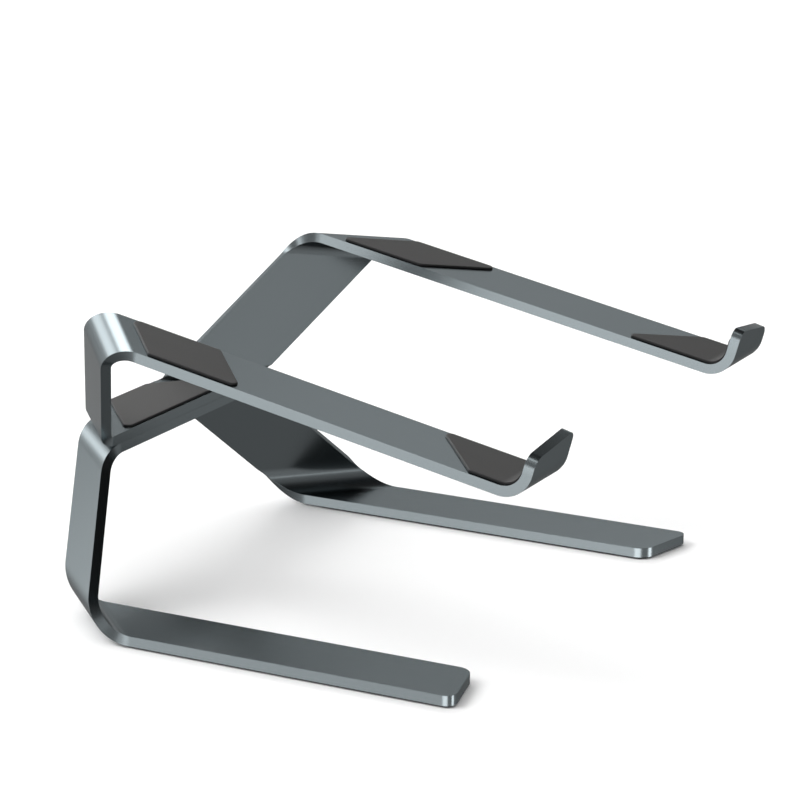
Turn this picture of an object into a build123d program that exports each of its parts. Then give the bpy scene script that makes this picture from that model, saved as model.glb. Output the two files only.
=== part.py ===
"""Laptop riser: two folded aluminium frames joined back to back at their crossbars, with rubber pads."""
import os
from dataclasses import dataclass
from math import acos, atan2, cos, degrees, pi, radians, sin, sqrt, tan

from build123d import *

os.makedirs("parts", exist_ok=True)

# Driving sizes of the whole stand, in millimetres
overall_width = 247.0
rear_depth = 33.5
foot_reach = 193.0
arm_reach = 214.5

# The metal strip that both frames are folded from
strip_width = rear_depth
sheet = 4.5
foot_rake = 13.5
foot_round = 6.0

# Upper frame: crossbar, leaning uprights, sloping arms, hooks
upper_fold_at = 63.7
upright_lean = 8.8
arm_slope = 11.1
upright_bend = 4.5
arm_bend = 9.0
hook_bend = 11.0
hook_turn = 86.0
hook_tip = 9.5
hook_rake = 8.0
hook_round = 4.5

# Lower frame: crossbar, splayed risers, feet
lower_fold_at = 57.4
riser_splay = 21.3
riser_bend = 11.25
foot_bend = 11.25

# Rubber pads
pad_thick = 1.0
pad_margin = 1.6
pad_round = 2.5
lip_round = 1.5
rear_pad_gap = 5.7
rear_pad_length = 44.5
front_pad_reach = 12.5
front_pad_lip = 4.0
bar_pad_front = 1.0
bar_pad_back = 0.6
bar_pad_gap = 9.5
foot_pad_gap = 4.0

# Screws that hold the two crossbars together
screw_size = 4.0
screw_head = 8.0
screw_count = 4
screw_pitch = 20.0
socket_across = 2.5
socket_depth = 1.4
screw_stop = 0.4

right = Vector(1, 0, 0)
back = Vector(0, 1, 0)
up = Vector(0, 0, 1)
half_sheet = sheet / 2


@dataclass
class Station:
    """A place on the strip: the middle of the sheet at its front edge, and how the strip lies there."""

    point: Vector
    run: Vector
    face: Vector
    across: Vector

    def slant(self, ruling):
        """How far the strip's other edge is ahead of this one on a section along the ruling."""
        return strip_width * ruling.dot(self.run) / ruling.dot(self.across)

    def section(self, ruling):
        """Plane that cuts the strip square to its faces along the ruling, at mid width."""
        width = strip_width / ruling.dot(self.across)
        middle = self.point + ruling * (width / 2)
        return Plane(origin=middle, x_dir=ruling, z_dir=ruling.cross(self.face))

    def flat(self, lift=0.0):
        """Plane of the sheet, x along the strip and y across it, lifted towards the hollow side."""
        normal = self.run.cross(self.across)
        return Plane(origin=self.point + self.face * lift, x_dir=self.run, z_dir=normal)

    def onward(self, length):
        """The same lie of the strip, further along it."""
        return Station(self.point + self.run * length, self.run, self.face, self.across)


@dataclass
class Fold:
    """A bend of the strip about an oblique line: a screw motion about the axis of its radius."""

    start: Station
    ruling: Vector
    radius: float
    turn: float

    def axis(self):
        """Unit vector that the strip turns about."""
        square = self.start.run - self.ruling * self.start.run.dot(self.ruling)
        return square.normalized().cross(self.start.face)

    def advance(self):
        """Travel along the ruling while the strip turns."""
        square = self.start.run - self.ruling * self.start.run.dot(self.ruling)
        return self.radius * self.turn * self.start.run.dot(self.ruling) / square.length

    def end(self):
        """Station at the end of the bend."""
        spin = Axis((0, 0, 0), self.axis())
        angle = degrees(self.turn)
        arm = self.start.face * -self.radius
        hub = self.start.point - arm
        point = hub + arm.rotate(spin, angle) + self.ruling * self.advance()
        turned = [v.rotate(spin, angle) for v in (self.start.run, self.start.face, self.start.across)]
        return Station(point, *turned)

    def path(self):
        """Helix that the middle of the strip follows through the bend."""
        travel = self.advance()
        middle = self.start.section(self.ruling).origin
        hub = middle + self.start.face * self.radius
        heading = self.ruling if travel > 0 else self.ruling * -1
        same_hand = heading.dot(self.axis()) > 0
        helix = Helix(
            pitch=abs(travel) * 2 * pi / self.turn,
            height=abs(travel),
            radius=self.radius,
            lefthand=not same_hand,
            mode=Mode.PRIVATE,
        )
        return Plane(origin=hub, x_dir=self.start.face * -1, z_dir=heading) * helix


def level_fold_angle(lean, slope):
    """Angle of the first fold line that brings the arm out level across after an upright with this lean."""
    turn = pi / 2 - lean
    ct, st, cd, sd = cos(slope), sin(slope), cos(turn), sin(turn)
    # Quadratic in the cosine of the angle, from the across direction having no height at the arm
    a = ct * cd - ct - 1 + cd
    b = st * sd
    c = ct - cd
    return acos((-b - sqrt(b * b - 4 * a * c)) / (2 * a))


def fold_towards(start, goal, radius):
    """Fold whose line turns the strip from the way it runs to the goal direction."""
    ruling = start.face.cross(start.run - goal).normalized()
    if ruling.dot(start.run) < 0:
        ruling = ruling * -1
    before = (start.run - ruling * start.run.dot(ruling)).normalized()
    after = (goal - ruling * goal.dot(ruling)).normalized()
    hinge = before.cross(start.face)
    turn = atan2(before.cross(after).dot(hinge), before.dot(after)) % (2 * pi)
    return Fold(start, ruling, radius, turn)


def leg_length(first, goal, radius):
    """Flat length between the two folds that puts the outer edge at the overall width."""
    bare = fold_towards(first.end(), goal, radius).end()
    return (overall_width / 2 - bare.point.X) / first.end().run.X


def legs(bar, lean, goal, first_radius, second_radius):
    """Both folds of one side of a frame, from its crossbar out to the arm or foot."""
    slope = acos(-goal.Y)
    angle = level_fold_angle(lean, slope)
    first = Fold(bar, Vector(cos(angle), -sin(angle), 0), first_radius, pi / 2 - lean)
    length = leg_length(first, goal, second_radius)
    return first, fold_towards(first.end().onward(length), goal, second_radius)


arm_way = Vector(0, -cos(radians(arm_slope)), -sin(radians(arm_slope)))
foot_way = Vector(0, -1, 0)
foot_lead = tan(radians(foot_rake)) * strip_width / 2
hook_lead = tan(radians(hook_rake)) * strip_width / 2

# The riser sets how high the crossbars stand, so the lower frame is laid out first
trial = Station(Vector(lower_fold_at, 0, 0), right, up * -1, back)
fall = legs(trial, radians(riser_splay), foot_way, riser_bend, foot_bend)[1].end().point.Z
lower_height = pad_thick + half_sheet - fall
lower_bar = Station(Vector(lower_fold_at, 0, lower_height), right, up * -1, back)
riser_fold, foot_fold = legs(lower_bar, radians(riser_splay), foot_way, riser_bend, foot_bend)
foot = foot_fold.end()
foot_length = foot_reach + foot.point.Y

upper_height = lower_height + sheet
bar_top = upper_height + half_sheet
upper_bar = Station(Vector(upper_fold_at, 0, upper_height), right, up, back)
upright_fold, arm_fold = legs(upper_bar, radians(upright_lean), arm_way, upright_bend, arm_bend)
arm = arm_fold.end()
arm_length = (arm_reach + arm.point.Y) / cos(radians(arm_slope))
# The hook turns the other way from the fold above it, so its hollow side is the arm's top
hook_start = arm.onward(arm_length)
arm_top = arm.face * -1
hook_hub = hook_start.point + arm_top * hook_bend
hook_axis = Axis(tuple(hook_hub), tuple(arm_way.cross(arm_top)))
hook_way = arm_way.rotate(Axis((0, 0, 0), hook_axis.direction), hook_turn)
hook_top = arm_top.rotate(Axis((0, 0, 0), hook_axis.direction), hook_turn)
hook_end = Station(hook_hub - hook_top * hook_bend, hook_way, hook_top, arm.across)


def slanted_plate(station, near_slant, front_length, far_slant):
    """Flat of the strip between two sections, each given by how far its far corner is ahead."""
    with BuildSketch(station.flat()) as outline:
        with BuildLine():
            Polyline(
                (0, 0),
                (front_length, 0),
                (front_length + far_slant, strip_width),
                (near_slant, strip_width),
                close=True,
            )
        make_face()
    extrude(outline.sketch, amount=half_sheet, both=True)


def raked_end(station, near_slant, mid_length, lead, corner):
    """Last flat of the strip, with a raked end and two rounded corners."""
    with BuildSketch(station.flat()) as outline:
        with BuildLine():
            Polyline(
                (0, 0),
                (mid_length + lead, 0),
                (mid_length - lead, strip_width),
                (near_slant, strip_width),
                close=True,
            )
        make_face()
        fillet(outline.vertices().sort_by(Axis.X)[-2:], radius=corner)
    extrude(outline.sketch, amount=half_sheet, both=True)


def bend(fold):
    """Strip swept round one oblique fold."""
    width = strip_width / fold.ruling.dot(fold.start.across)
    with BuildSketch(fold.start.section(fold.ruling)) as section:
        Rectangle(width, sheet)
    sweep(section.sketch, path=fold.path(), is_frenet=True)


def crossbar(height, fold):
    """Middle flat of a frame, from the centre line out to the first fold line."""
    slant = fold.start.slant(fold.ruling)
    with BuildSketch(Plane.XY.offset(height - half_sheet)) as outline:
        with BuildLine():
            Polyline(
                (0, 0),
                (fold.start.point.X, 0),
                (fold.start.point.X + slant, strip_width),
                (0, strip_width),
                close=True,
            )
        make_face()
    extrude(outline.sketch, amount=sheet)


def leg(first, second):
    """Flat between the two folds of one side."""
    start = first.end()
    near_slant = start.slant(first.ruling)
    far_slant = second.start.slant(second.ruling)
    slanted_plate(start, near_slant, (second.start.point - start.point).length, far_slant)


def pad_strip(station, start, finish, lift):
    """Pad outline on one face of the strip; start and finish give the outer and inner corners' distances."""
    near, far = start, finish
    with BuildSketch(station.flat(lift)) as outline:
        with BuildLine():
            Polyline(
                (near[0], pad_margin),
                (far[0], pad_margin),
                (far[1], strip_width - pad_margin),
                (near[1], strip_width - pad_margin),
                close=True,
            )
        make_face()
    return outline


def along(distance, slant):
    """Distances of a slanted edge's two corners on the pad's own margins."""
    first = distance + slant * pad_margin / strip_width
    second = distance + slant * (strip_width - pad_margin) / strip_width
    return first, second


# Crossbar screws, tapped into the lower bar and covered by the crossbar pad
screw_pts = [(screw_pitch * (i - (screw_count - 1) / 2), strip_width / 2) for i in range(screw_count)]
bar_bottom = lower_height - half_sheet

with BuildPart() as crossbar_screws:
    with Locations(Plane.XY.offset(bar_top - screw_stop)):
        with Locations(*screw_pts):
            Cone(
                bottom_radius=screw_size / 2,
                top_radius=screw_head / 2,
                height=(screw_head - screw_size) / 2,
                align=(Align.CENTER, Align.CENTER, Align.MAX),
            )
            Cylinder(
                radius=screw_size / 2,
                height=2 * sheet - 2 * screw_stop,
                align=(Align.CENTER, Align.CENTER, Align.MAX),
            )
    with BuildSketch(Plane.XY.offset(bar_top - screw_stop)):
        with Locations(*screw_pts):
            RegularPolygon(radius=socket_across / 2, side_count=6, major_radius=False)
    extrude(amount=-socket_depth, mode=Mode.SUBTRACT)

# Upper frame
with BuildPart() as upper_frame:
    crossbar(upper_height, upright_fold)
    bend(upright_fold)
    leg(upright_fold, arm_fold)
    bend(arm_fold)
    slanted_plate(arm, arm.slant(arm_fold.ruling), arm_length, 0)
    with BuildSketch(hook_start.section(arm.across * -1)) as hook_section:
        Rectangle(strip_width, sheet)
    revolve(hook_section.sketch, axis=hook_axis, revolution_arc=hook_turn)
    raked_end(hook_end, 0, hook_tip, -hook_lead, hook_round)
    mirror(about=Plane.YZ)
    with Locations(Plane.XY.offset(bar_top)):
        with Locations(*screw_pts):
            CounterSinkHole(
                radius=screw_size / 2,
                counter_sink_radius=screw_head / 2 + screw_stop,
                depth=sheet,
            )

# Lower frame
with BuildPart() as lower_frame:
    crossbar(lower_height, riser_fold)
    bend(riser_fold)
    leg(riser_fold, foot_fold)
    bend(foot_fold)
    raked_end(foot, foot.slant(foot_fold.ruling), foot_length, foot_lead, foot_round)
    mirror(about=Plane.YZ)
    with Locations(Plane.XY.offset(lower_height + half_sheet)):
        with Locations(*screw_pts):
            Hole(radius=screw_size / 2, depth=sheet)

# Pads on the arms, the right one drawn and the left one mirrored
arm_slant = arm.slant(arm_fold.ruling)
rear_start = along(rear_pad_gap, arm_slant)
rear_finish = along(rear_pad_gap + rear_pad_length, arm_slant)
with BuildPart() as right_rear_pad:
    rear_outline = pad_strip(arm, rear_start, rear_finish, -half_sheet)
    extrude(rear_outline.sketch, dir=tuple(arm_top), amount=pad_thick)
    fillet(right_rear_pad.edges().filter_by(Axis((0, 0, 0), tuple(arm_top))), radius=pad_round)

with BuildPart() as left_rear_pad:
    mirror(right_rear_pad.part, about=Plane.YZ)

front_start = along(arm_length - front_pad_reach, arm_slant)
lip_lead = hook_lead * (1 - 2 * pad_margin / strip_width)
with BuildPart() as right_front_pad:
    front_outline = pad_strip(arm, front_start, (arm_length, arm_length), -half_sheet)
    extrude(front_outline.sketch, dir=tuple(arm_top), amount=pad_thick)
    fillet(
        right_front_pad.edges().filter_by(Axis((0, 0, 0), tuple(arm_top))).group_by(Axis.Y)[-1],
        radius=pad_round,
    )
    lip_start = Plane(
        origin=hook_start.point + arm_top * (half_sheet + pad_thick / 2) + arm.across * (strip_width / 2),
        x_dir=arm.across,
        z_dir=arm_way,
    )
    with BuildSketch(lip_start) as lip_section:
        Rectangle(strip_width - 2 * pad_margin, pad_thick)
    revolve(lip_section.sketch, axis=hook_axis, revolution_arc=hook_turn)
    with BuildSketch(hook_end.flat(half_sheet)) as lip_outline:
        with BuildLine():
            Polyline(
                (0, pad_margin),
                (front_pad_lip - lip_lead, pad_margin),
                (front_pad_lip + lip_lead, strip_width - pad_margin),
                (0, strip_width - pad_margin),
                close=True,
            )
        make_face()
        fillet(lip_outline.vertices().sort_by(Axis.X)[-2:], radius=lip_round)
    extrude(lip_outline.sketch, dir=tuple(hook_top), amount=pad_thick)

with BuildPart() as left_front_pad:
    mirror(right_front_pad.part, about=Plane.YZ)

# Pad over the crossbar, ends parallel to the fold lines
bar_slant = upper_bar.slant(upright_fold.ruling)
bar_edge = upper_fold_at - bar_pad_gap
front_x = bar_edge + bar_slant * bar_pad_front / strip_width
back_x = bar_edge + bar_slant * (strip_width - bar_pad_back) / strip_width
with BuildPart() as crossbar_pad:
    with BuildSketch(Plane.XY.offset(bar_top)) as bar_outline:
        with BuildLine():
            Polyline(
                (-front_x, bar_pad_front),
                (front_x, bar_pad_front),
                (back_x, strip_width - bar_pad_back),
                (-back_x, strip_width - bar_pad_back),
                close=True,
            )
        make_face()
        fillet(bar_outline.vertices(), radius=pad_round)
    extrude(amount=pad_thick)

# Pads under the feet
foot_slant = foot.slant(foot_fold.ruling)
foot_rear = along(foot_pad_gap, foot_slant)
pad_lead = foot_lead * (1 - 2 * pad_margin / strip_width)
foot_end = foot_length - pad_margin
with BuildPart() as right_foot_pad:
    with BuildSketch(foot.flat(-half_sheet)) as sole:
        with BuildLine():
            Polyline(
                (foot_rear[0], pad_margin),
                (foot_end + pad_lead, pad_margin),
                (foot_end - pad_lead, strip_width - pad_margin),
                (foot_rear[1], strip_width - pad_margin),
                close=True,
            )
        make_face()
        fillet(sole.vertices().sort_by(Axis.X)[-2:], radius=foot_round - pad_margin)
    extrude(sole.sketch, dir=(0, 0, -1), amount=pad_thick)

with BuildPart() as left_foot_pad:
    mirror(right_foot_pad.part, about=Plane.YZ)

pieces = {
    "upper_frame": upper_frame,
    "lower_frame": lower_frame,
    "crossbar_screws": crossbar_screws,
    "crossbar_pad": crossbar_pad,
    "left_rear_pad": left_rear_pad,
    "right_rear_pad": right_rear_pad,
    "left_front_pad": left_front_pad,
    "right_front_pad": right_front_pad,
    "left_foot_pad": left_foot_pad,
    "right_foot_pad": right_foot_pad,
}

# The upper frame reaches furthest both ways, so its middle is the stand's
middle = upper_frame.part.bounding_box().center().Y
for name, piece in pieces.items():
    placed = Pos(0, -middle, 0) * piece.part
    placed.label = name
    export_step(placed, f"parts/{name}.step")
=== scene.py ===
"""Studio view of the folded aluminium laptop riser."""
from math import acos, atan2, cos, inf, pi, radians, sin, sqrt, tan

import bpy
import numpy as np
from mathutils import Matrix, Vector


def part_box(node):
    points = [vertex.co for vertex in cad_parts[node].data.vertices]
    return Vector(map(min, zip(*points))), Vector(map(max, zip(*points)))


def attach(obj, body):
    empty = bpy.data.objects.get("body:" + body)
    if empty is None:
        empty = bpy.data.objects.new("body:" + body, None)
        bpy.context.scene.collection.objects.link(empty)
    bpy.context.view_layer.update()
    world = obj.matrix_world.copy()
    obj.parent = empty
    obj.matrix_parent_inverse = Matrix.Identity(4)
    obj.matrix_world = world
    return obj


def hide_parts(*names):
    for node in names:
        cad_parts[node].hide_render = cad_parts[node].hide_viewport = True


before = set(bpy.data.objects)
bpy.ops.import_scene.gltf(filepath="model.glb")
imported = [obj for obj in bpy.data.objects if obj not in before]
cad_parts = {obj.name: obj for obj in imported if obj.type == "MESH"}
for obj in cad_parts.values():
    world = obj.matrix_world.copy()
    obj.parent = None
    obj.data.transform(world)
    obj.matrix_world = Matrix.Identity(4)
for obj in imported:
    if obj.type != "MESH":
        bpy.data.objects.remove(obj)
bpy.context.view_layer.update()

# The strip, in metres and as the solids have it: width, thickness, half of the overall width.
# Its edges are broken by a narrow bevel wherever they are sharp
STRIP = 0.0335
SHEET = 0.0045
HALF_WIDTH = 0.1235
EDGE = 0.00045
EDGE_STEPS = 2
SHARP = radians(35)

# Each frame: half of its crossbar, lean of its uprights or risers, slope of its arms or feet, the side
# that its first bends turn to (1 is up), radii of both bends to the middle of the sheet, reach in front.
# Then its tips: the hook's bend, what is straight after it, rake of the end, rounding of its corners
UPPER = {
    "fold_at": 0.0637, "lean": radians(8.8), "slope": radians(11.1), "face": 1.0,
    "bends": (0.0045, 0.009), "reach": 0.2145, "hook_bend": 0.011, "hook_turn": radians(86.0),
    "tip": 0.0095, "rake": radians(-8.0), "corner": 0.0045,
}
LOWER = {
    "fold_at": 0.0574, "lean": radians(21.3), "slope": 0.0, "face": -1.0,
    "bends": (0.01125, 0.01125), "reach": 0.193, "rake": radians(13.5), "corner": 0.006,
}
BEND_STEP = radians(3.0)
CORNER_STEPS = 10

# Rubber pads: thickness, rounding of the rim, where the face starts as a multiple of that rounding,
# margin to the strip's edges, rounding of the corners
PAD = 0.001
RIM_ROUND = 0.0006
RIM_STEPS = 5
FACE_START = 1.5
MARGIN = 0.0016
PAD_ROUND = 0.0025
# Rear pads: gap after the bend, length along the arm
REAR_GAP, REAR_LENGTH = 0.0057, 0.0445
# Front pads: reach on the arm, lip past the hook's bend, rounding of the lip, stops round the bend
FRONT_REACH, FRONT_LIP, LIP_ROUND = 0.0125, 0.004, 0.0015
HOOK_STOPS = 18
# Crossbar pad: margins in front and behind, gap to the fold lines
BAR_FRONT, BAR_BACK, BAR_GAP = 0.001, 0.0006, 0.0095
# Foot pads: gap after the bend, rounding of the rear corners
SOLE_GAP, SOLE_ROUND = 0.004, 0.0012

# Where the crossbars lie in the frame: their front edge, and the middle of each sheet
FRONT_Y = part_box("crossbar_pad")[0].y - BAR_FRONT
LOWER_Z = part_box("upper_frame")[0].z - SHEET / 2
UPPER_Z = LOWER_Z + SHEET

# Alloy: linear colours between which the bead marks and the clouds of dye vary, its tint seen edge on,
# roughness and how much it varies, grain in marks to the metre
ALLOY_DARK, ALLOY_LIGHT, ALLOY_EDGE_ON = (0.232, 0.265, 0.278), (0.282, 0.319, 0.333), 0.46
ALLOY_ROUGHNESS, ALLOY_SPREAD = 0.24, 0.03
BEAD_MARKS, BEAD_DENTS, DYE_CLOUDS, BEAD_SHARE = 4200, 5200, 14, 0.7

# Rubber: colours of the face and the rim, whose darker colour is painted shade on the pad's sides, how much
# the face varies, where on the rim the face fades out
RUBBER, RUBBER_SPREAD, RIM_PAINTED_SHADE = (0.034, 0.0333, 0.033), 0.12, (0.012, 0.012, 0.013)
RUBBER_SHEEN, RIM_ROUGHNESS, FACE_ROUGHNESS = 0.35, 0.42, 0.62
RUBBER_SPECKS, RUBBER_DENTS, RIM_FADE = 1500, 3800, (0.3, 0.9)

# Steel of the screws, and the floor
STEEL, STEEL_SMOOTH, STEEL_SPREAD = (0.45, 0.45, 0.46), 0.24, 0.14
TURNING_LINES, STEEL_DENTS = 900, 1800
FLOOR_WHITE, FLOOR_REACH = (0.98, 0.98, 0.98), 8.0

# Camera, fitted to the photo: lens and sensor in millimetres, place in metres, turn in degrees
LENS, SENSOR = 142.917, 36.0
CAMERA_AT = (-1.19650, -0.62436, 0.45707)
CAMERA_TURN = (74.6489, -0.4318, -62.6677)
CAMERA_END = 20.0

# Soft lamps for the floor and the rubber: way to the lamp, width in degrees, level
LAMPS = {
    "key": ((-0.75, 1.0, 0.85), 40, 1.15),
    "overhead": ((0.0, 0.0, 1.0), 120, 1.75),
}

# Studio that the metal mirrors: tent and how much dimmer its top is, extra on the horizon,
# glow from below where it is steep and where it is shallow, dark flag in front on the right
TENT, TOP_DROP = 0.33, 0.26
HORIZON = 0.90
STEEP_GLOW, SHALLOW_GLOW = 0.20, 0.38
FLAG_WAY, FLAG_SHADE = (0.60, -0.72, 0.35), 0.91
# Sines of the elevations between which they fade, and the flag's cosines off its middle
TOP_FADE, HORIZON_FADE, TENT_FOOT = (0.55, 0.9), (0.05, 0.16), (-0.02, 0.02)
GLOW_TOP, STEEP_FADE, FLAG_FADE = (-0.05, 0.05), (-0.90, -0.45), (0.30, 0.80)

# Soft boxes, by the face that mirrors each: way to the middle, half width, half height, level
BOX_FADE = 0.25
SOFT_BOXES = {
    "rear bend's outer stripe": ((0.36, 0.86, 0.33), 0.17, 0.18, 3.6),
    "rear bend's upper stripe": ((0.60, 0.58, 0.56), 0.17, 0.12, 6.6),
    "arm tops": ((0.93, 0.17, 0.40), 0.24, 0.15, 0.75),
    "foot tops": ((0.80, 0.55, 0.20), 0.16, 0.14, 0.36),
    "riser": ((0.00, 0.98, -0.20), 0.40, 0.18, 2.4),
    "left side faces": ((-0.88, 0.45, -0.20), 0.30, 0.14, 1.3),
    "foot corner's left stripe": ((-0.94, -0.22, -0.26), 0.36, 0.22, 2.5),
    "foot corner's right stripe": ((0.13, -0.95, -0.28), 0.20, 0.16, 3.2),
    "foot bend's edge": ((-0.98, 0.00, -0.10), 0.25, 0.14, 0.8),
    "broken edges": ((-0.36, 0.40, 0.84), 0.30, 0.24, 2.4),
    "upright": ((0.63, 0.71, -0.30), 0.24, 0.20, 0.1),
}


def unit(v):
    """v with length 1."""
    return v / np.linalg.norm(v)


def turned(v, axis, angle):
    """v turned about a unit axis, by one angle or a column of them: Rodrigues' formula."""
    along = axis * (axis @ v)
    return v * np.cos(angle) + np.cross(axis, v) * np.sin(angle) + along * (1 - np.cos(angle))


def level_fold_angle(lean, slope):
    """Angle of the first fold line that leaves the arm level across: a quadratic in its cosine."""
    turn = pi / 2 - lean
    ct, st, cd, sd = cos(slope), sin(slope), cos(turn), sin(turn)
    a, b, c = ct * cd - ct - 1 + cd, st * sd, ct - cd
    return acos((-b - sqrt(b * b - 4 * a * c)) / (2 * a))


def raked(distance, rake, across):
    """Place along of a raked end: its distance on the middle line, more or less by the rake off it."""
    return distance + tan(rake) * (STRIP / 2 - across)


class Strip:
    """Half of a frame as rows of rulings: front edge, back edge and normal of the sheet's middle surface."""

    def __init__(self, point, run, face, across):
        self.point, self.run, self.face, self.across = point, run, face, across
        self.rows = []

    def add(self, front, back, face):
        """Adds rows: their front ends, back ends and normals."""
        self.rows.append(np.stack(np.broadcast_arrays(front, back, face), axis=1))

    def slant(self):
        """How far the back edge is ahead of the front edge on the last fold's ruling."""
        return STRIP * (self.ruling @ self.run) / (self.ruling @ self.across)

    def bend(self, ruling, radius, turn, towards=1.0):
        """Rows of a bend to the face's side, or away from it with towards at -1.

        A screw motion about the bend's axis: by share s the front edge is at the hub, plus its arm
        turned by s of the turn, plus s of the advance along the ruling. The back edge is one ruling on.
        """
        self.ruling = ruling
        square = self.run - ruling * (self.run @ ruling)
        inner = self.face * towards
        axis = np.cross(unit(square), inner)
        hub = self.point + inner * radius
        advance = ruling * (radius * turn * (self.run @ ruling) / np.linalg.norm(square))
        share = np.linspace(0.0, 1.0, max(2, round(turn / BEND_STEP)) + 1)[:, None]
        front = hub + turned(self.point - hub, axis, turn * share) + advance * share
        face = turned(self.face, axis, turn * share)
        self.add(front, front + ruling * (STRIP / (ruling @ self.across)), face)
        self.point, self.face = front[-1], face[-1]
        self.run, self.across = turned(self.run, axis, turn), turned(self.across, axis, turn)

    def fold_to(self, goal, radius, length):
        """Goes straight for a length, then folds from the way it runs to the goal direction."""
        ruling, turn = self.fold_line(goal)
        self.point = self.point + self.run * length
        self.bend(ruling, radius, turn)

    def fold_line(self, goal):
        """Ruling and turn of the fold that takes the strip to the goal direction.

        The ruling makes the same angle with both directions, so it is square to their difference
        and to the face. The turn is the angle between what each has square to the ruling.
        """
        ruling = unit(np.cross(self.face, self.run - goal))
        ruling = ruling if ruling @ self.run > 0 else -ruling
        before = unit(self.run - ruling * (self.run @ ruling))
        after = unit(goal - ruling * (goal @ ruling))
        hinge = np.cross(before, self.face)
        return ruling, atan2(np.cross(before, after) @ hinge, before @ after) % (2 * pi)

    def end(self, length, rake, corner):
        """Rows of the last flat's raked end, drawn in from both edges by the corner's quarter circle."""
        angle = np.linspace(0.0, pi / 2, CORNER_STEPS + 1)[:, None]
        inset = corner * (1 - np.cos(angle))
        back_off = corner * (1 - np.sin(angle))
        front, back = (
            self.point + self.run * (raked(length, rake, across) - back_off) + self.across * across
            for across in (inset, STRIP - inset)
        )
        self.add(front, back, self.face)


def folded_out(spec, height):
    """A strip after both folds of one side, at the start of its arm or foot, and that flat's length.

    It is laid twice: with no length between the folds, and with the length that takes it to its full width.
    """
    goal = np.array([0.0, -cos(spec["slope"]), -sin(spec["slope"])])
    start = np.array([spec["fold_at"], FRONT_Y, height])
    right, ahead, up = np.eye(3)
    angle = level_fold_angle(spec["lean"], spec["slope"])
    ruling = np.array([cos(angle), -sin(angle), 0.0])

    def laid(length):
        """The strip with a length between its folds, and how far out each unit of that length takes it."""
        strip = Strip(start, right, up * spec["face"], ahead)
        strip.bend(ruling, spec["bends"][0], pi / 2 - spec["lean"])
        out_share = strip.run[0]
        strip.fold_to(goal, spec["bends"][1], length)
        return strip, out_share

    bare, out_share = laid(0.0)
    strip, _ = laid((HALF_WIDTH - bare.point[0]) / out_share)
    folds_reach = FRONT_Y - strip.point[1]
    return strip, (spec["reach"] - folds_reach) / cos(spec["slope"])


def half_frame(spec, height):
    """Rows from the crossbar's first fold to the tip of one side, as (front, back, normal)."""
    strip, straight = folded_out(spec, height)
    if "hook_bend" in spec:
        strip.point = strip.point + strip.run * straight
        strip.bend(strip.across, spec["hook_bend"], spec["hook_turn"], towards=-1.0)
        straight = spec["tip"]
    strip.end(straight, spec["rake"], spec["corner"])
    return np.concatenate(strip.rows)


def smooth_piece(name, points, quads):
    """Object of a closed mesh with outward faces, told by the sign of its volume about its middle."""
    a, b, c, d = ((points - points.mean(axis=0))[quads[:, k]] for k in range(4))
    volume = (a * np.cross(b, c)).sum() + (a * np.cross(c, d)).sum()
    if volume < 0:
        quads = quads[:, ::-1]
    mesh = bpy.data.meshes.new(name)
    mesh.from_pydata(points.tolist(), [], quads.tolist())
    mesh.validate()
    mesh.polygons.foreach_set("use_smooth", [True] * len(mesh.polygons))
    piece = bpy.data.objects.new(name, mesh)
    bpy.context.scene.collection.objects.link(piece)
    return piece


def ribbon(name, spec, height):
    """Closed mesh of a whole frame: the rows and their mirror image about X = 0, in one line.

    Each row is a ring of four corners, at its front and back end plus and minus half of the sheet along
    the normal. Quads join each ring to the next, and one closes each tip.
    """
    rows = half_frame(spec, height)
    mirrored = rows[::-1] * np.array([-1.0, 1.0, 1.0])
    rows = np.concatenate([mirrored, rows])
    front, back, half = rows[:, 0], rows[:, 1], rows[:, 2] * (SHEET / 2)
    ring = np.stack([front + half, back + half, back - half, front - half], axis=1)
    count = len(rows)
    first = np.arange(count - 1)[:, None] * 4
    side = np.arange(4)[None, :]
    after = (side + 1) % 4
    walls = np.stack([first + side, first + after, first + 4 + after, first + 4 + side], axis=-1)
    last = (count - 1) * 4
    tips = np.array([[3, 2, 1, 0], [last, last + 1, last + 2, last + 3]])
    piece = smooth_piece(name, ring.reshape(-1, 3), np.concatenate([walls.reshape(-1, 4), tips]))
    bevel = piece.modifiers.new("edge_break", "BEVEL")
    bevel.width = EDGE
    bevel.segments = EDGE_STEPS
    bevel.limit_method = "ANGLE"
    bevel.angle_limit = SHARP
    bevel.harden_normals = True
    return piece


def corner_arc(before, corner, after, radius):
    """Points round a corner, and inward normals there: from one edge's tangent point to the other's.

    Each point is the hub plus an arm that turns evenly from the first tangent point's arm to the last
    one's: the first arm times the sine of what is left of the turn, plus the last arm times the sine of
    what is done, over the sine of the whole turn.
    """
    back, ahead = unit(before - corner), unit(after - corner)
    half = acos(back @ ahead) / 2
    hub = corner + unit(back + ahead) * (radius / sin(half))
    first = corner + back * (radius / tan(half)) - hub
    last = corner + ahead * (radius / tan(half)) - hub
    share = np.linspace(0.0, 1.0, CORNER_STEPS + 1)[:, None]
    turn = pi - 2 * half
    arm = (np.sin((1 - share) * turn) * first + np.sin(share * turn) * last) / sin(turn)
    return hub + arm, -arm / radius


def edge_chain(corners, radii, stops):
    """Half of a pad's outline, and inward normals: round one corner, by the edge's stops, round the next.

    Stops that lie past the edge's ends fall on its ends.
    """
    start, start_in = corner_arc(*corners[:3], radii[0])
    finish, finish_in = corner_arc(*corners[1:], radii[1])
    run = finish[0] - start[-1]
    share = np.clip((np.asarray(stops) - start[-1][0]) / run[0], 0.0, 1.0)[:, None]
    points = np.concatenate([start, start[-1] + run * share, finish])
    inward = np.concatenate([start_in, np.repeat(start_in[-1:], len(stops), axis=0), finish_in])
    return points, inward


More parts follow.
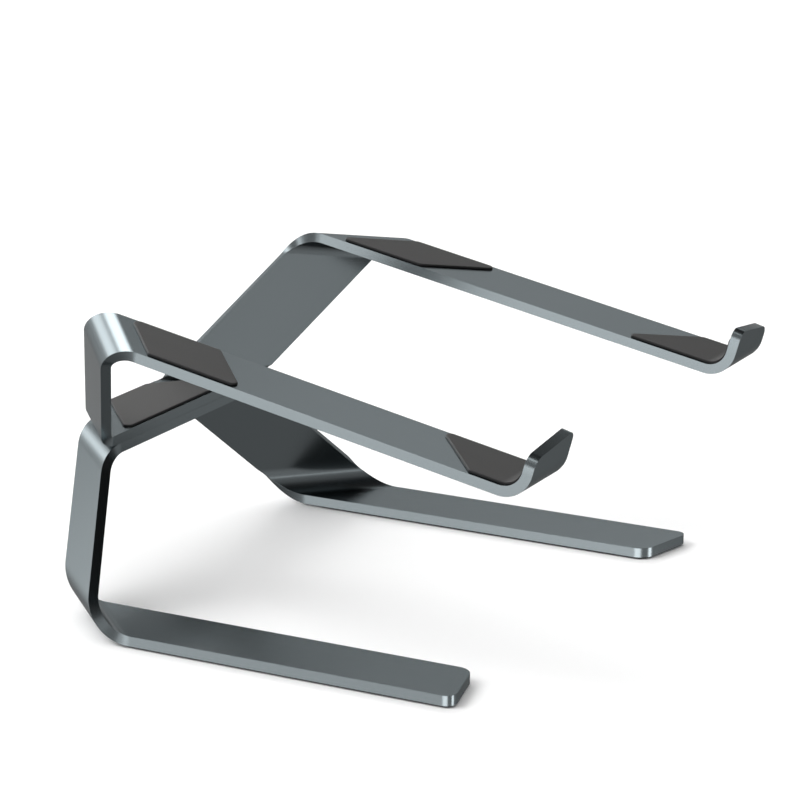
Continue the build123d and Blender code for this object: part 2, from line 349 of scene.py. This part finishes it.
def pad(name, outline, radii, place, stops=(), mirrored=False):
    """Moulded pad: its outline drawn in round a quarter-round rim, on the surface that place gives.

    Level by level, the outline goes inward by the rim's radius times one less the cosine of an angle
    that grows to a square, and its height is the pad's less that radius times one less the sine. Rungs
    from the front half to the back half close its top and bottom. The outline has its corners as
    (along, across): front start, front end, back end, back start.
    """
    a, b, c, d = (np.array(corner) for corner in outline)
    front, front_in = edge_chain((d, a, b, c), radii, stops)
    back, back_in = edge_chain((a, d, c, b), radii, stops)
    angle = np.linspace(0.0, pi / 2, RIM_STEPS)
    inset = np.concatenate([[0.0], RIM_ROUND * (1 - np.cos(angle)), [RIM_ROUND * FACE_START]])
    height = np.concatenate([[0.0], PAD - RIM_ROUND * (1 - np.sin(angle)), [PAD]])
    loop = np.concatenate([front, back[::-1]])
    inward = np.concatenate([front_in, back_in[::-1]])
    flat = loop[None] + inward[None] * inset[:, None, None]
    points = place(flat[..., 0], flat[..., 1], height[:, None])
    around = len(loop)
    level = (np.arange(len(inset) - 1) * around)[:, None]
    k = np.arange(around)[None, :]
    after = (k + 1) % around
    wall = np.stack([level + k, level + after, level + around + after, level + around + k], axis=-1)
    rung = np.arange(len(front) - 1)
    ladder = np.stack([rung, rung + 1, around - 2 - rung, around - 1 - rung], axis=-1)
    top = ladder + (len(inset) - 1) * around
    quads = np.concatenate([wall.reshape(-1, 4), top, ladder[:, ::-1]])
    points = points.reshape(-1, 3) * np.array([-1.0 if mirrored else 1.0, 1.0, 1.0])
    piece = smooth_piece(name, points, quads)
    rim = piece.data.attributes.new("rim", "FLOAT", "POINT")
    rim.data.foreach_set("value", np.repeat(1 - inset.clip(0, RIM_ROUND) / RIM_ROUND, around))
    return piece


def surface(origin, run, across, top, hook_at=inf):
    """Function that places (along, across, height) on a face of the sheet, round the hook past its start.

    Up to the hook the place is straight along. From there the run and the top turn by the length
    along the bend over its radius, and past the bend the run goes straight on as it then points.
    """
    radius, full_turn = UPPER["hook_bend"], UPPER["hook_turn"]

    def place(along, off, height):
        """Points for arrays of places along, across and above."""
        turn = np.clip((along - hook_at) / radius, 0.0, full_turn)[..., None]
        beyond = np.maximum(along - hook_at - radius * full_turn, 0.0)[..., None]
        top_here = top * np.cos(turn) - run * np.sin(turn)
        run_here = run * np.cos(turn) + top * np.sin(turn)
        flat = origin + run * np.minimum(along, hook_at)[..., None] + across * off[..., None]
        bent = (top - top_here) * radius + run_here * beyond
        return flat + bent + top_here * (SHEET / 2 + height[..., None])

    return place


def slanted(distance, slant, near=MARGIN, far=MARGIN):
    """Places along of the two corners of a slanted end, at the pad's margins."""
    return distance + slant * near / STRIP, distance + slant * (STRIP - far) / STRIP


def raked_end(distance, rake):
    """Places along of the two corners of a raked end, at the pad's margins."""
    return raked(distance, rake, MARGIN), raked(distance, rake, STRIP - MARGIN)


def outline_between(start, end, near=MARGIN, far=MARGIN):
    """Corners of a pad from its start to its end, each given by its front and back corner's place along."""
    return (start[0], near), (end[0], near), (end[1], STRIP - far), (start[1], STRIP - far)


def arm_pads():
    """Rear and front pads of both arms."""
    arm, length = folded_out(UPPER, UPPER_Z)
    slant = arm.slant()
    rear = outline_between(slanted(REAR_GAP, slant), slanted(REAR_GAP + REAR_LENGTH, slant))
    hook_end = length + UPPER["hook_bend"] * UPPER["hook_turn"]
    lip = raked_end(hook_end + FRONT_LIP, UPPER["rake"])
    front = outline_between(slanted(length - FRONT_REACH, slant), lip)
    stops = np.linspace(length, hook_end, HOOK_STOPS)
    flat = surface(arm.point, arm.run, arm.across, -arm.face)
    hooked = surface(arm.point, arm.run, arm.across, -arm.face, length)
    for side in ("left", "right"):
        mirrored = side == "left"
        yield pad(f"{side}_rear_pad_moulding", rear, (PAD_ROUND, PAD_ROUND), flat, mirrored=mirrored)
        yield pad(f"{side}_front_pad_moulding", front, (PAD_ROUND, LIP_ROUND), hooked, stops, mirrored)


def sole_pads():
    """Pads under both feet."""
    foot, length = folded_out(LOWER, LOWER_Z)
    toe = raked_end(length - MARGIN, LOWER["rake"])
    sole = outline_between(slanted(SOLE_GAP, foot.slant()), toe)
    radii = (SOLE_ROUND, LOWER["corner"] - MARGIN)
    under = surface(foot.point, foot.run, foot.across, -foot.face)
    for side in ("left", "right"):
        yield pad(f"{side}_foot_pad_moulding", sole, radii, under, mirrored=side == "left")


def bar_pad():
    """Pad over the crossbar, its ends parallel to the fold lines."""
    slant = -STRIP / tan(level_fold_angle(UPPER["lean"], UPPER["slope"]))
    end = slanted(UPPER["fold_at"] - BAR_GAP, slant, BAR_FRONT, BAR_BACK)
    outline = outline_between((-end[0], -end[1]), end, BAR_FRONT, BAR_BACK)
    right, ahead, up = np.eye(3)
    over = surface(np.array([0.0, FRONT_Y, UPPER_Z]), right, ahead, up)
    return pad("crossbar_pad_moulding", outline, (PAD_ROUND, PAD_ROUND), over)


class Graph:
    """A node tree that is written as Python expressions."""

    def __init__(self, tree):
        self.tree = tree

    def node(self, kind, settings=None, inputs=None):
        """Any node: its settings first, then the values or links of its sockets."""
        made = self.tree.nodes.new(kind)
        for key, value in (settings or {}).items():
            setattr(made, key, value)
        for key, value in (inputs or {}).items():
            self.feed(made.inputs[key], value)
        return made

    def feed(self, socket, value):
        """Links an expression to a socket, or sets the socket's own value."""
        if isinstance(value, Value):
            self.tree.links.new(value.socket, socket)
        else:
            socket.default_value = value

    def out(self, made, name=0):
        """A node's output as an expression."""
        return Value(self, made.outputs[name])

    def coordinate(self, name):
        """An output of Texture Coordinate."""
        return self.out(self.node("ShaderNodeTexCoord"), name)

    def attribute(self, name):
        """A mesh's own values by name."""
        return self.out(self.node("ShaderNodeAttribute", {"attribute_name": name}), "Fac")

    def noise(self, scale, detail=2.0, stretch=(1.0, 1.0, 1.0)):
        """Noise on the object's own coordinates, from 0 to 1."""
        place = self.node("ShaderNodeMapping", inputs={"Vector": self.coordinate("Object"), "Scale": stretch})
        made = self.node("ShaderNodeTexNoise", inputs={
            "Vector": self.out(place), "Scale": scale, "Detail": detail,
        })
        return self.out(made, "Fac")

    def along(self, vector, axis):
        """Dot product of a vector with a fixed direction."""
        made = self.node("ShaderNodeVectorMath", {"operation": "DOT_PRODUCT"}, {0: vector, 1: tuple(axis)})
        return self.out(made, "Value")

    def mixed(self, share, first, second):
        """Two colours mixed by a share, on the Mix node's colour sockets."""
        made = self.node("ShaderNodeMix", {"data_type": "RGBA"}, {"Factor": share, 6: first, 7: second})
        return self.out(made, 2)


class Value:
    """A socket's value in an expression: the operators add Math nodes."""

    def __init__(self, graph, socket):
        self.graph, self.socket = graph, socket

    def maths(self, operation, first, second=0.0):
        """A Math node."""
        made = self.graph.node("ShaderNodeMath", {"operation": operation}, {0: first, 1: second})
        return self.graph.out(made)

    def __add__(self, other):
        return self.maths("ADD", self, other)

    def __radd__(self, other):
        return self.maths("ADD", other, self)

    def __sub__(self, other):
        return self.maths("SUBTRACT", self, other)

    def __rsub__(self, other):
        return self.maths("SUBTRACT", other, self)

    def __mul__(self, other):
        return self.maths("MULTIPLY", self, other)

    def __rmul__(self, other):
        return self.maths("MULTIPLY", other, self)

    def __abs__(self):
        return self.maths("ABSOLUTE", self)

    def rise(self, low, high):
        """Smooth step from 0 at low to 1 at high."""
        made = self.graph.node("ShaderNodeMapRange", {"interpolation_type": "SMOOTHSTEP"}, {
            "Value": self, "From Min": low, "From Max": high,
        })
        return self.graph.out(made)


def opaque(colour, strength=1.0):
    """A linear colour, lighter or darker by its strength, with full alpha."""
    return tuple(channel * strength for channel in colour) + (1.0,)


def principled(name, colour, metallic, roughness):
    """A Principled surface with its even values set on its own sockets, ready for what varies."""
    made = bpy.data.materials.new(name)
    made.use_nodes = True
    shader = made.node_tree.nodes["Principled BSDF"]
    shader.inputs["Base Color"].default_value = opaque(colour)
    shader.inputs["Metallic"].default_value = metallic
    shader.inputs["Roughness"].default_value = roughness
    return made, Graph(made.node_tree), shader


def grain(graph, shader, scale, strength, depth):
    """Fine grain in the surface's height."""
    bump = graph.node("ShaderNodeBump", inputs={
        "Strength": strength, "Distance": depth, "Height": graph.noise(scale),
    })
    graph.feed(shader.inputs["Normal"], graph.out(bump))


def blasted_alloy():
    """Bead-blasted and anodised sheet: fine sparkle in colour, roughness and height, faint clouds of dye."""
    made, graph, shader = principled("anodised_metal", ALLOY_DARK, metallic=1.0, roughness=ALLOY_ROUGHNESS)
    shader.inputs["Specular Tint"].default_value = opaque((ALLOY_EDGE_ON,) * 3)
    beads = graph.noise(BEAD_MARKS, detail=3.0)
    lightness = beads * BEAD_SHARE + graph.noise(DYE_CLOUDS) * (1 - BEAD_SHARE)
    graph.feed(shader.inputs["Base Color"], graph.mixed(lightness, opaque(ALLOY_DARK), opaque(ALLOY_LIGHT)))
    graph.feed(shader.inputs["Roughness"], ALLOY_ROUGHNESS - ALLOY_SPREAD + beads * (2 * ALLOY_SPREAD))
    grain(graph, shader, BEAD_DENTS, strength=0.12, depth=0.00003)
    return made


def moulded_rubber():
    """Matt rubber with a fine texture on its face and a smoother rim that is painted darker as shade, by the
    mesh's own rim value.
    """
    made, graph, shader = principled("pad_rubber", RUBBER, metallic=0.0, roughness=FACE_ROUGHNESS)
    shader.inputs["Specular IOR Level"].default_value = RUBBER_SHEEN
    on_face = 1 - graph.attribute("rim").rise(*RIM_FADE)
    dark, light = opaque(RUBBER, 1 - RUBBER_SPREAD), opaque(RUBBER, 1 + RUBBER_SPREAD)
    face = graph.mixed(graph.noise(RUBBER_SPECKS, detail=3.0), dark, light)
    # The rim's darker colour is painted shade on the pad's sides; only its lower roughness is the moulded
    # rim's own
    graph.feed(shader.inputs["Base Color"], graph.mixed(on_face, opaque(RIM_PAINTED_SHADE), face))
    graph.feed(shader.inputs["Roughness"], RIM_ROUGHNESS + on_face * (FACE_ROUGHNESS - RIM_ROUGHNESS))
    grain(graph, shader, RUBBER_DENTS, strength=0.35, depth=0.00004)
    return made


def turned_steel():
    """Plain steel with fine turning lines about the screw's own height."""
    made, graph, shader = principled("screw_steel", STEEL, metallic=1.0, roughness=0.3)
    lines = graph.noise(TURNING_LINES, detail=1.0, stretch=(0.2, 0.2, 6.0))
    graph.feed(shader.inputs["Roughness"], STEEL_SMOOTH + lines * STEEL_SPREAD)
    grain(graph, shader, STEEL_DENTS, strength=0.1, depth=0.00002)
    return made


def clad(piece, finish, node, slot):
    """Gives a piece its finish, fixes it to the one body and hides the node that it shows in place of."""
    piece.data.materials.append(finish)
    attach(piece, "root")
    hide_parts(node)


def set_camera():
    """Camera that sees the object as the photo does."""
    lens = bpy.data.cameras.new("camera")
    lens.lens = LENS
    lens.sensor_width = SENSOR
    lens.clip_end = CAMERA_END
    camera = bpy.data.objects.new("camera", lens)
    camera.location = CAMERA_AT
    camera.rotation_euler = [radians(angle) for angle in CAMERA_TURN]
    bpy.context.scene.collection.objects.link(camera)
    bpy.context.scene.camera = camera


def hang_lamp(name, way_to, width, level):
    """Soft lamp far away, for everything but mirrors."""
    light = bpy.data.lights.new(name, "SUN")
    light.energy = level
    light.angle = radians(width)
    lamp = bpy.data.objects.new(name, light)
    lamp.rotation_euler = Vector(way_to).to_track_quat("Z", "Y").to_euler()
    lamp.visible_glossy = False
    bpy.context.scene.collection.objects.link(lamp)


def soft_box(studio, way, centre, wide, tall, level):
    """Light of a rectangle with soft edges, by how far a direction is off its centre both ways.

    It falls from full to none between its half size less and plus the fade, and only ahead of the object.
    """
    ahead = unit(np.array(centre, float))
    side = unit(np.cross((0.0, 0.0, 1.0), ahead))
    off_side = abs(studio.along(way, side))
    off_height = abs(studio.along(way, np.cross(ahead, side)))
    inner, outer = 1 - BOX_FADE, 1 + BOX_FADE
    in_width = 1 - off_side.rise(wide * inner, wide * outer)
    in_height = 1 - off_height.rise(tall * inner, tall * outer)
    return in_width * in_height * studio.along(way, ahead).rise(0.0, 0.1) * level


def build_studio():
    """World light: tent and horizon shaded by the flag above, the floor's glow below, and the soft boxes."""
    world = bpy.data.worlds.new("studio")
    world.use_nodes = True
    bpy.context.scene.world = world
    studio = Graph(world.node_tree)
    way = studio.coordinate("Generated")
    elevation = studio.along(way, (0.0, 0.0, 1.0))
    flag = studio.along(way, unit(np.array(FLAG_WAY))).rise(*FLAG_FADE)
    horizon = 1 - elevation.rise(*HORIZON_FADE)
    tent = TENT - elevation.rise(*TOP_FADE) * TOP_DROP
    above = (tent + horizon * HORIZON) * (1 - flag * FLAG_SHADE)
    below = STEEP_GLOW + elevation.rise(*STEEP_FADE) * (SHALLOW_GLOW - STEEP_GLOW)
    strength = elevation.rise(*TENT_FOOT) * above + (1 - elevation.rise(*GLOW_TOP)) * below
    for centre, wide, tall, level in SOFT_BOXES.values():
        strength = strength + soft_box(studio, way, centre, wide, tall, level)
    background = world.node_tree.nodes["Background"]
    background.inputs["Color"].default_value = opaque((1.0, 1.0, 1.0))
    studio.feed(background.inputs["Strength"], strength)


def lay_floor():
    """Pale floor that keeps the shadows. The metal mirrors the studio's glow from below in its place."""
    corners = [(x * FLOOR_REACH, y * FLOOR_REACH, 0.0) for x, y in ((-1, -1), (1, -1), (1, 1), (-1, 1))]
    mesh = bpy.data.meshes.new("floor")
    mesh.from_pydata(corners, [], [(0, 1, 2, 3)])
    floor = bpy.data.objects.new("floor", mesh)
    floor.visible_glossy = False
    bpy.context.scene.collection.objects.link(floor)
    paint, _, shader = principled("floor_white", FLOOR_WHITE, metallic=0.0, roughness=0.9)
    shader.inputs["Specular IOR Level"].default_value = 0.0
    mesh.materials.append(paint)


alloy, rubber, steel = blasted_alloy(), moulded_rubber(), turned_steel()

for node, spec, height, slot in (
    ("upper_frame", UPPER, UPPER_Z, "upper_metal"),
    ("lower_frame", LOWER, LOWER_Z, "lower_metal"),
):
    clad(ribbon(f"{node}_shell", spec, height), alloy, node, slot)

for piece in (*arm_pads(), *sole_pads(), bar_pad()):
    clad(piece, rubber, piece.name.removesuffix("_moulding"), "pad_rubber")

# Every node of the solids gets the finish of its kind, also where a piece stands for it
for name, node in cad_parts.items():
    node.data.materials.clear()
    if name.endswith("_pad"):
        node.data.materials.append(rubber)
    elif name == "crossbar_screws":
        node.data.materials.append(steel)
    else:
        node.data.materials.append(alloy)

set_camera()
for name, (way_to, width, level) in LAMPS.items():
    hang_lamp(name, way_to, width, level)
build_studio()
lay_floor()
bpy.context.scene.view_settings.view_transform = "Standard"
